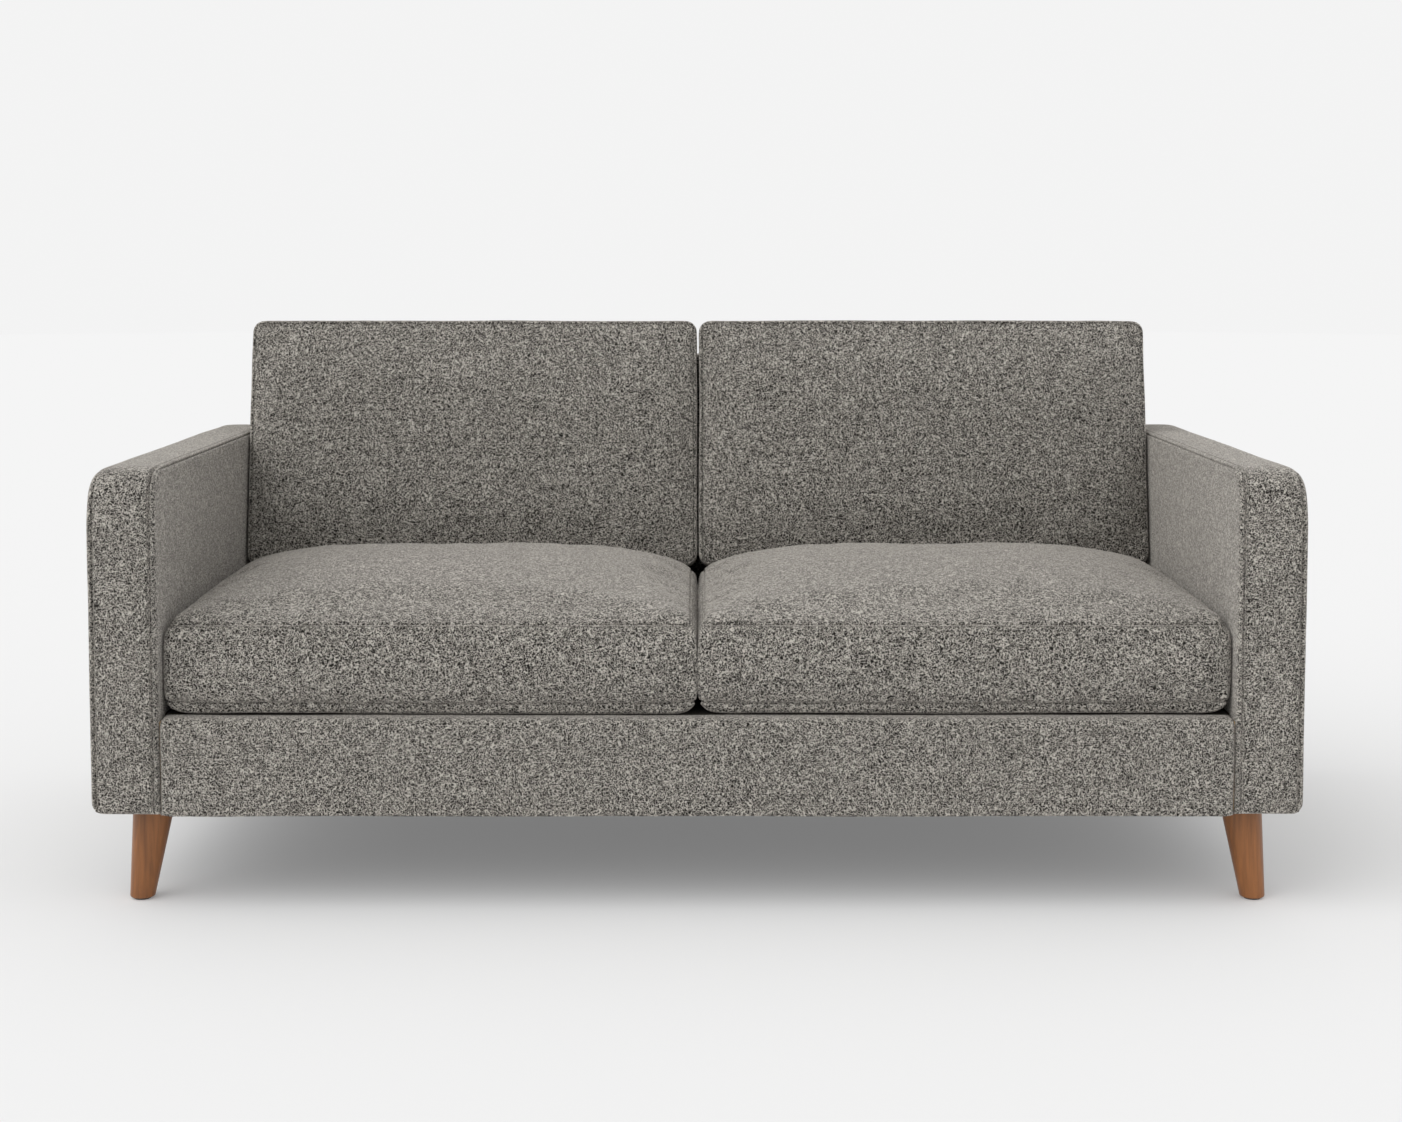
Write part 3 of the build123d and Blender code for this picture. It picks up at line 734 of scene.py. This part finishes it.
# The panels' radii, at the low and the high end of each axis.
RAIL_RADII = ((8 * MM, 8 * MM), (14 * MM, 0.0), (0.0, 14 * MM))
INSIDE_RADII = ((9 * MM, 9 * MM), (22 * MM, 0.0), (0.0, 20 * MM))
OUTSIDE_RADII = ((5 * MM, 5 * MM), (0.0, 6 * MM), (0.0, 0.0))
rail_low, rail_high = node_box("front_rail_cover")
rail_low.x -= ARM_GAP
rail_high.x += ARM_GAP
rail_size = rail_high - rail_low
make_panel(
    "front_rail_tight_cover",
    rail_low,
    rail_high,
    RAIL_RADII,
    lambda middle: middle[1] < rail_size.y and (middle[2] > 0 or middle[1] < HEM),
    ("front_rail_cover", "front_rail_foam"),
    seed=11.0,
)

FRAME_LEAN = math.radians(8.5)
inside_low, inside_high = node_box("inside_back_cover")
inside_size = inside_high - inside_low


def lean_front(place):
    """Leans the front of the inside back, leaving its rear upright."""
    depth = (place.y - inside_low.y) / inside_size.y
    face = inside_low.y + (place.z - inside_low.z) * math.tan(FRAME_LEAN)
    return Vector((place.x, face + depth * (inside_high.y - face), place.z))


make_panel(
    "inside_back_tight_cover",
    inside_low,
    inside_high,
    INSIDE_RADII,
    lambda middle: middle[1] < inside_size.y and middle[2] > 0,
    ("inside_back_cover", "inside_back_foam"),
    seed=17.0,
    shift=lean_front,
)

outside_low, outside_high = node_box("outside_back_cover")
outside_low.y = node_box("outside_back_wadding")[0].y
outside_size = outside_high - outside_low
make_panel(
    "outside_back_tight_cover",
    outside_low,
    outside_high,
    OUTSIDE_RADII,
    lambda middle: middle[1] > 0 and 0 < middle[2] < outside_size.z,
    ("outside_back_cover", "outside_back_wadding"),
    seed=23.0,
)


# ---- Deck cloth and dust cover ----
def make_sheet(name, low, high, height, material, step, hole=None):
    """A stretched sheet with a gentle ripple, and holes where hole() says."""
    mesh = bmesh.new()
    across = max(2, round((high.x - low.x) / step))
    along = max(2, round((high.y - low.y) / step))
    rows = []
    for i in range(across + 1):
        x = low.x + (high.x - low.x) * i / across
        line = [low.y + (high.y - low.y) * j / along for j in range(along + 1)]
        rows.append([mesh.verts.new((x, y, height(x, y))) for y in line])
    for i in range(across):
        for j in range(along):
            corners = (rows[i][j], rows[i + 1][j], rows[i + 1][j + 1], rows[i][j + 1])
            middle = sum((corner.co for corner in corners), Vector()) / 4
            if hole is None or not hole(middle):
                mesh.faces.new(corners)
    loose = [vertex for vertex in mesh.verts if not vertex.link_faces]
    bmesh.ops.delete(mesh, geom=loose, context="VERTS")
    return finish_piece(name, mesh, material)


DECK_STEP = 20 * MM
DECK_DROP = 0.6 * MM
DECK_RIPPLE = 0.5 * MM
DECK_WAVES = 9  # ripples per metre, about
deck_low, deck_high = node_box("deck_cloth")


def deck_height(x, y):
    """The deck cloth is stretched over the springs, with hardly a ripple."""
    ripple = noise.noise(Vector((x * DECK_WAVES, y * DECK_WAVES, 0)))
    return deck_top - DECK_DROP - DECK_RIPPLE * ripple


deck_sheet = make_sheet(
    "deck_platform_cloth",
    deck_low,
    deck_high,
    deck_height,
    SLOT_LOOKS["platform_cloth"],
    DECK_STEP,
)
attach(deck_sheet, "frame")
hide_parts("deck_cloth")

CUTOUT_HALF = 42 * MM  # half of the opening in the dust cover round a leg plate
PLATE_HALF = 40 * MM
DUST_STEP = 12 * MM
DUST_DROP = 0.4 * MM
DUST_SAG = 3.0 * MM  # in the middle
DUST_RIPPLE = 1.0 * MM
DUST_WAVES = 7
plate_high = node_box("leg_plates")[1]
dust_low, dust_high = node_box("dust_cover")


def by_leg_plate(point):
    """Whether a point of the dust cover lies over one of the four leg plates."""
    over_x = abs(abs(point.x) - (plate_high.x - PLATE_HALF)) < CUTOUT_HALF
    over_y = abs(abs(point.y) - (plate_high.y - PLATE_HALF)) < CUTOUT_HALF
    return over_x and over_y


def dust_height(x, y):
    """The dust cover hangs a little between the rails it is stapled to."""
    across = 1 - (x / dust_high.x) ** 2
    along = 1 - (y / dust_high.y) ** 2
    ripple = noise.noise(Vector((x * DUST_WAVES, y * DUST_WAVES, 2.0)))
    sag = (DUST_SAG + DUST_RIPPLE * ripple) * across * along
    return dust_high.z - DUST_DROP - sag


dust_sheet = make_sheet(
    "black_dust_sheet",
    dust_low,
    dust_high,
    dust_height,
    SLOT_LOOKS["dust_cloth"],
    DUST_STEP,
    by_leg_plate,
)
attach(dust_sheet, "frame")
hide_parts("dust_cover")


# ---- Seat cushions ----
LEAN = math.radians(10.4)
BACK_FOOT = (153.2 * MM, 436.0 * MM)  # depth and height of the back cushions' lower front edge
SEAT_SIDE_HEIGHT = 150 * MM
SEAT_FRONT_CORNER_RADIUS = 9 * MM
SEAT_REAR_CORNER_RADIUS = 6 * MM
SEAT_TOP_SIDE_RADIUS = 26 * MM
SEAT_TOP_FRONT_RADIUS = 40 * MM
SEAT_LOWER_SIDE_RADIUS = 25 * MM
SEAT_LOWER_FRONT_RADIUS = 16 * MM
SEAT_LOWER_SEAM = 17 * MM
ARC_SEAM_WIDTH = 4.0 * MM  # measured on the flat box, which the arc of an edge draws together
SEAT_CROWN = 44 * MM
SEAT_SIDE_CROWN = 7 * MM
SEAT_CROWN_REACH = 330 * MM  # from each side, the crown has its full height
SEAT_CROWN_DEPTH = 400 * MM  # and the same from the front
SEAT_SIDE_ARC = 600 * MM
SEAT_SWELLING = 7 * MM
PRESSED_FROM = 105 * MM  # in front of the back cushion, the top starts to sink below it
PRESSED_FULLY = 4 * MM
PRESSED_CLEARANCE = 2.5 * MM
HELD_REAR = 130 * MM  # the rear of the cushion, which the back cushion holds down
CORNER_LIFT = 7 * MM  # how far the lower front corners rise from the deck
CORNER_REACH = 45 * MM
SEAT_SEED = 31.0


def bulge(from_edge, reach, power):
    """0 at an edge and 1 beyond reach, rising steeply at first as a filled panel does."""
    return 1 - (1 - min(from_edge / reach, 1)) ** power


def make_seat_cushion(side_name, side):
    """A boxed seat cushion: crowned top panel, boxing between two seams, and a flat underside."""
    low, high = node_box(f"seat_cushion_{side_name}_cover")
    size = (high.x - low.x, high.y - low.y, SEAT_SIDE_HEIGHT)
    width, length, height = size
    back_foot, foot_height = BACK_FOOT

    def top_height(x, y):
        across = bulge(min(x, width - x), SEAT_CROWN_REACH, power=2.4)
        along = bulge(y, SEAT_CROWN_DEPTH, power=2.2)
        side_rise = SEAT_SIDE_CROWN * math.sin(math.pi * min(y / SEAT_SIDE_ARC, 1))
        crowned = low.z + height + side_rise + SEAT_CROWN * across * along
        world_y = low.y + y
        pressed = foot_height - (world_y - back_foot) * math.tan(LEAN) - PRESSED_CLEARANCE
        share = smooth(world_y, back_foot - PRESSED_FROM, back_foot + PRESSED_FULLY)
        return crowned + (min(pressed, crowned) - crowned) * share

    def shape(flat):
        x, y, z = flat
        at_front = y < length / 2
        from_side, from_end = min(x, width - x), min(y, length - y)
        corner_radius = SEAT_FRONT_CORNER_RADIUS if at_front else SEAT_REAR_CORNER_RADIUS
        from_side, from_end = round_corner(from_side, from_end, corner_radius)
        if z > height / 2:
            from_side, from_top = round_corner(from_side, height - z, SEAT_TOP_SIDE_RADIUS)
            if at_front:
                from_end, from_top = round_corner(from_end, from_top, SEAT_TOP_FRONT_RADIUS)
            z = height - from_top
        else:
            from_side, z = round_corner(from_side, z, SEAT_LOWER_SIDE_RADIUS)
            if at_front:
                from_end, z = round_corner(from_end, z, SEAT_LOWER_FRONT_RADIUS)
        x = from_side if x < width / 2 else width - from_side
        y = from_end if at_front else length - from_end
        share = z / height
        top = top_height(flat[0], flat[1])
        corner_x = max(0.0, 1 - min(x, width - x) / CORNER_REACH)
        corner_y = max(0.0, 1 - y / CORNER_REACH)
        lift = CORNER_LIFT * (corner_x * corner_y) ** 1.5 * (1 - share) ** 3
        return Vector((low.x + x, low.y + y, low.z + share * (top - low.z) + lift))

    name = f"seat_cushion_{side_name}_boxed_cover"
    seams = ((), (), (SEAT_LOWER_SEAM,))
    piece, flats = padded_box(name, size, CUSHION_STEP, shape, seams=seams)
    pinned = []
    for x, y, z in flats:
        on_seam = z == height and (min(x, width - x) == 0 or y == 0 or y == length)
        held = on_seam or z == 0 or y > length - HELD_REAR
        pinned.append(1.0 if held else 0.0)
    swell(piece, SEAT_SWELLING, pinned)
    amounts = []
    for vertex, (x, y, z) in zip(piece.data.vertices, flats):
        from_side, from_end = min(x, width - x), min(y, length - y)
        amount = unevenness(vertex.co, SEAT_SEED + side) if y < length else 0.0
        from_seam = math.hypot(height - z, min(from_side, from_end))
        amount += groove(from_seam, EDGE_SEAM_DEPTH, ARC_SEAM_WIDTH)
        if min(from_side, from_end) == 0:
            amount += groove(z - SEAT_LOWER_SEAM, SEAM_DEPTH)
        amounts.append(amount)
    push_along_normals(piece, amounts)
    soften(piece)
    body = f"seat_cushion_{side_name}"
    declare_cover(piece, body, CUSHION_FILL, f"{body}_core", f"{body}_crown", f"{body}_cover")
    routes = []
    for z in (SEAT_LOWER_SEAM + STITCH_OFFSET, height - 2 * STITCH_OFFSET):
        corners = ((0, length / 2, z), (0, 0, z), (width, 0, z), (width, length / 2, z))
        routes.append(route_of(shape, corners))
    stitch_row(f"{body}_stitching", piece, body, routes)


for side_name, side in SIDES:
    make_seat_cushion(side_name, side)


# ---- Back cushions ----
BACK_THICKNESS = 150 * MM
BACK_HEIGHT = 443 * MM
BACK_CORNER_RADIUS = 22 * MM
BACK_EDGE_RADIUS = 10 * MM
BACK_DOME = 14 * MM
BACK_DOME_REACH = 170 * MM  # from each side, the dome has its full height
BACK_DOME_RISE = 150 * MM  # and the same from the top and the bottom
BACK_FACE_SETBACK = 10 * MM  # the seam of the front panel stands this far behind the dome
BACK_SWELLING = 8 * MM
REAR_SEAM_DEPTH = 1.6 * MM
REAR_SEAM_WIDTH = 2.4 * MM
BACK_SEED = 47.0


def make_back_cushion(side_name, side):
    """A boxed back cushion, leaning back, with a softly crowned front panel."""
    low, high = node_box(f"back_cushion_{side_name}_cover")
    size = (high.x - low.x, BACK_THICKNESS, BACK_HEIGHT)
    width, thickness, height = size
    foot = Vector((low.x, low.y, BACK_FOOT[1]))
    up = Vector((0, math.sin(LEAN), math.cos(LEAN)))
    through = Vector((0, math.cos(LEAN), -math.sin(LEAN)))

    def shape(flat):
        radii = ((BACK_CORNER_RADIUS,) * 2, (BACK_EDGE_RADIUS,) * 2, (BACK_CORNER_RADIUS,) * 2)
        x, y, z = rounded(flat, size, radii)
        across = bulge(min(x, width - x), BACK_DOME_REACH, power=2.2)
        upward = bulge(min(z, height - z), BACK_DOME_RISE, power=2.2)
        y -= BACK_DOME * across * upward * (1 - y / thickness)
        y += BACK_FACE_SETBACK * (1 - flat[1] / thickness)
        return foot + Vector((x, 0, 0)) + through * y + up * z

    name = f"back_cushion_{side_name}_boxed_cover"
    piece, flats = padded_box(name, size, CUSHION_STEP, shape)
    pinned = []
    for x, y, z in flats:
        on_edge = min(x, width - x, z, height - z) == 0
        pinned.append(1.0 if on_edge or y > 0 else 0.0)
    swell(piece, BACK_SWELLING, pinned)
    amounts = []
    for vertex, (x, y, z) in zip(piece.data.vertices, flats):
        from_edge = min(x, width - x, z, height - z)
        amount = unevenness(vertex.co, BACK_SEED + side) if y < thickness else 0.0
        amount += groove(math.hypot(y, from_edge), EDGE_SEAM_DEPTH)
        if y > thickness / 2:
            from_seam = math.hypot(thickness - y, from_edge)
            amount += groove(from_seam, REAR_SEAM_DEPTH, REAR_SEAM_WIDTH)
        amounts.append(amount)
    push_along_normals(piece, amounts)
    soften(piece)
    body = f"back_cushion_{side_name}"
    declare_cover(piece, body, CUSHION_FILL, f"{body}_core", f"{body}_cover")
    inset = STITCH_OFFSET
    corners = [
        (inset, 0, inset),
        (inset, 0, height - inset),
        (width - inset, 0, height - inset),
        (width - inset, 0, inset),
        (inset, 0, inset),
    ]
    stitch_row(f"{body}_stitching", piece, body, [route_of(shape, corners)])


for side_name, side in SIDES:
    make_back_cushion(side_name, side)


# ---- Floor, light and camera ----
FLOOR_RADIUS = 24.0
# painted glow of the floor: it lifts the floor's brightness and lightens the sofa's shadow on it
FLOOR_PAINTED_GLOW = 0.165
FLOOR_WHITENESS = 0.64
SKY_GLOW = 0.90  # the light all round, and the pale background
KEY_DIRECTION = (-0.62, -0.35, 0.70)  # from the left, a little in front and above
KEY_STRENGTH = 1.2
KEY_SPREAD = 60  # degrees, as broad as a large soft box nearby


def make_floor():
    """A wide matt white floor with a painted glow, which evens its brightness and lightens the sofa's
    shadow on it.
    """
    mesh = bmesh.new()
    turns = 96
    rim = []
    for turn in range(turns):
        angle = 2 * math.pi * turn / turns
        out = Vector((math.cos(angle), math.sin(angle), 0))
        rim.append(mesh.verts.new(out * FLOOR_RADIUS))
    mesh.faces.new(rim)
    material, _, _ = new_material("matt_white_floor_with_painted_glow")
    finish_material(
        material,
        {
            "Base Color": (FLOOR_WHITENESS, FLOOR_WHITENESS, FLOOR_WHITENESS, 1),
            "Roughness": 1.0,
            "Specular IOR Level": 0.0,
            "Emission Color": (1, 1, 1, 1),
            "Emission Strength": FLOOR_PAINTED_GLOW,
        },
    )
    finish_piece("studio_floor", mesh, material)


def make_light(name, towards, strength, spread):
    """A broad soft light as even as a sun; towards points from the sofa to the light."""
    lamp = bpy.data.lights.new(name, "SUN")
    lamp.energy = strength
    lamp.angle = math.radians(spread)
    light = bpy.data.objects.new(name, lamp)
    light.rotation_euler = Vector(towards).to_track_quat("Z", "Y").to_euler()
    bpy.context.scene.collection.objects.link(light)


make_floor()
make_light("key_light", KEY_DIRECTION, KEY_STRENGTH, KEY_SPREAD)

world = bpy.data.worlds.new("studio")
bpy.context.scene.world = world
world.use_nodes = True
sky = world.node_tree.nodes["Background"]
sky.inputs["Color"].default_value = (1, 1, 1, 1)
sky.inputs["Strength"].default_value = SKY_GLOW

# A long lens in front of the sofa, a little above its seat and tipped down.
SENSOR_WIDTH = 36.0  # millimetres, as is the lens
LENS_LENGTH = 53.7946
VIEW_PLACE = (0.0055, -3.5485, 0.9868)
VIEW_SHIFT = 0.12
VIEW_TILT = math.radians(3.76)
camera_data = bpy.data.cameras.new("camera")
camera_data.sensor_width = SENSOR_WIDTH
camera_data.lens = LENS_LENGTH
camera_data.shift_y = -VIEW_SHIFT
camera = bpy.data.objects.new("camera", camera_data)
camera.location = VIEW_PLACE
camera.rotation_euler = (math.pi / 2 - VIEW_TILT, 0, 0)
bpy.context.scene.collection.objects.link(camera)
bpy.context.scene.camera = camera
bpy.context.scene.view_settings.view_transform = "Standard"
